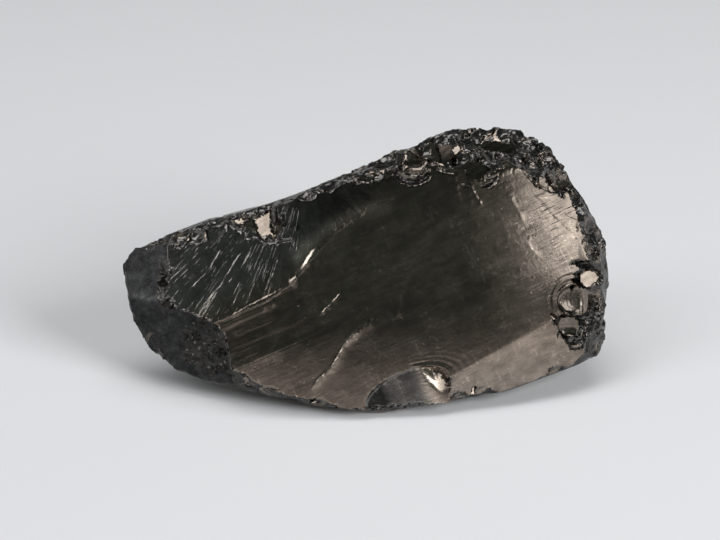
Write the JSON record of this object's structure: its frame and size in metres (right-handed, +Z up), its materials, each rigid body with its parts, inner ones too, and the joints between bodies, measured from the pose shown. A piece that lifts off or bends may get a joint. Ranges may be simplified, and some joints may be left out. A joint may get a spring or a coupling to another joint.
{
  "type": "coal lump",
  "caption": "Hand-sized lump of glassy black anthracite with a large shell-shaped break in front, chipped edges and a flat parting to stand on",
  "frame": {"origin": "middle of the base, on the floor", "axes": "X along the lump to the right, Y to the back with the largest break facing -Y, Z up"},
  "size_m": [0.092, 0.0412, 0.0435],
  "materials": {
    "anthracite": "glossy"
  },
  "bodies": {
    "root": {"coal_lump": "anthracite"}
  },
  "joints": []
}
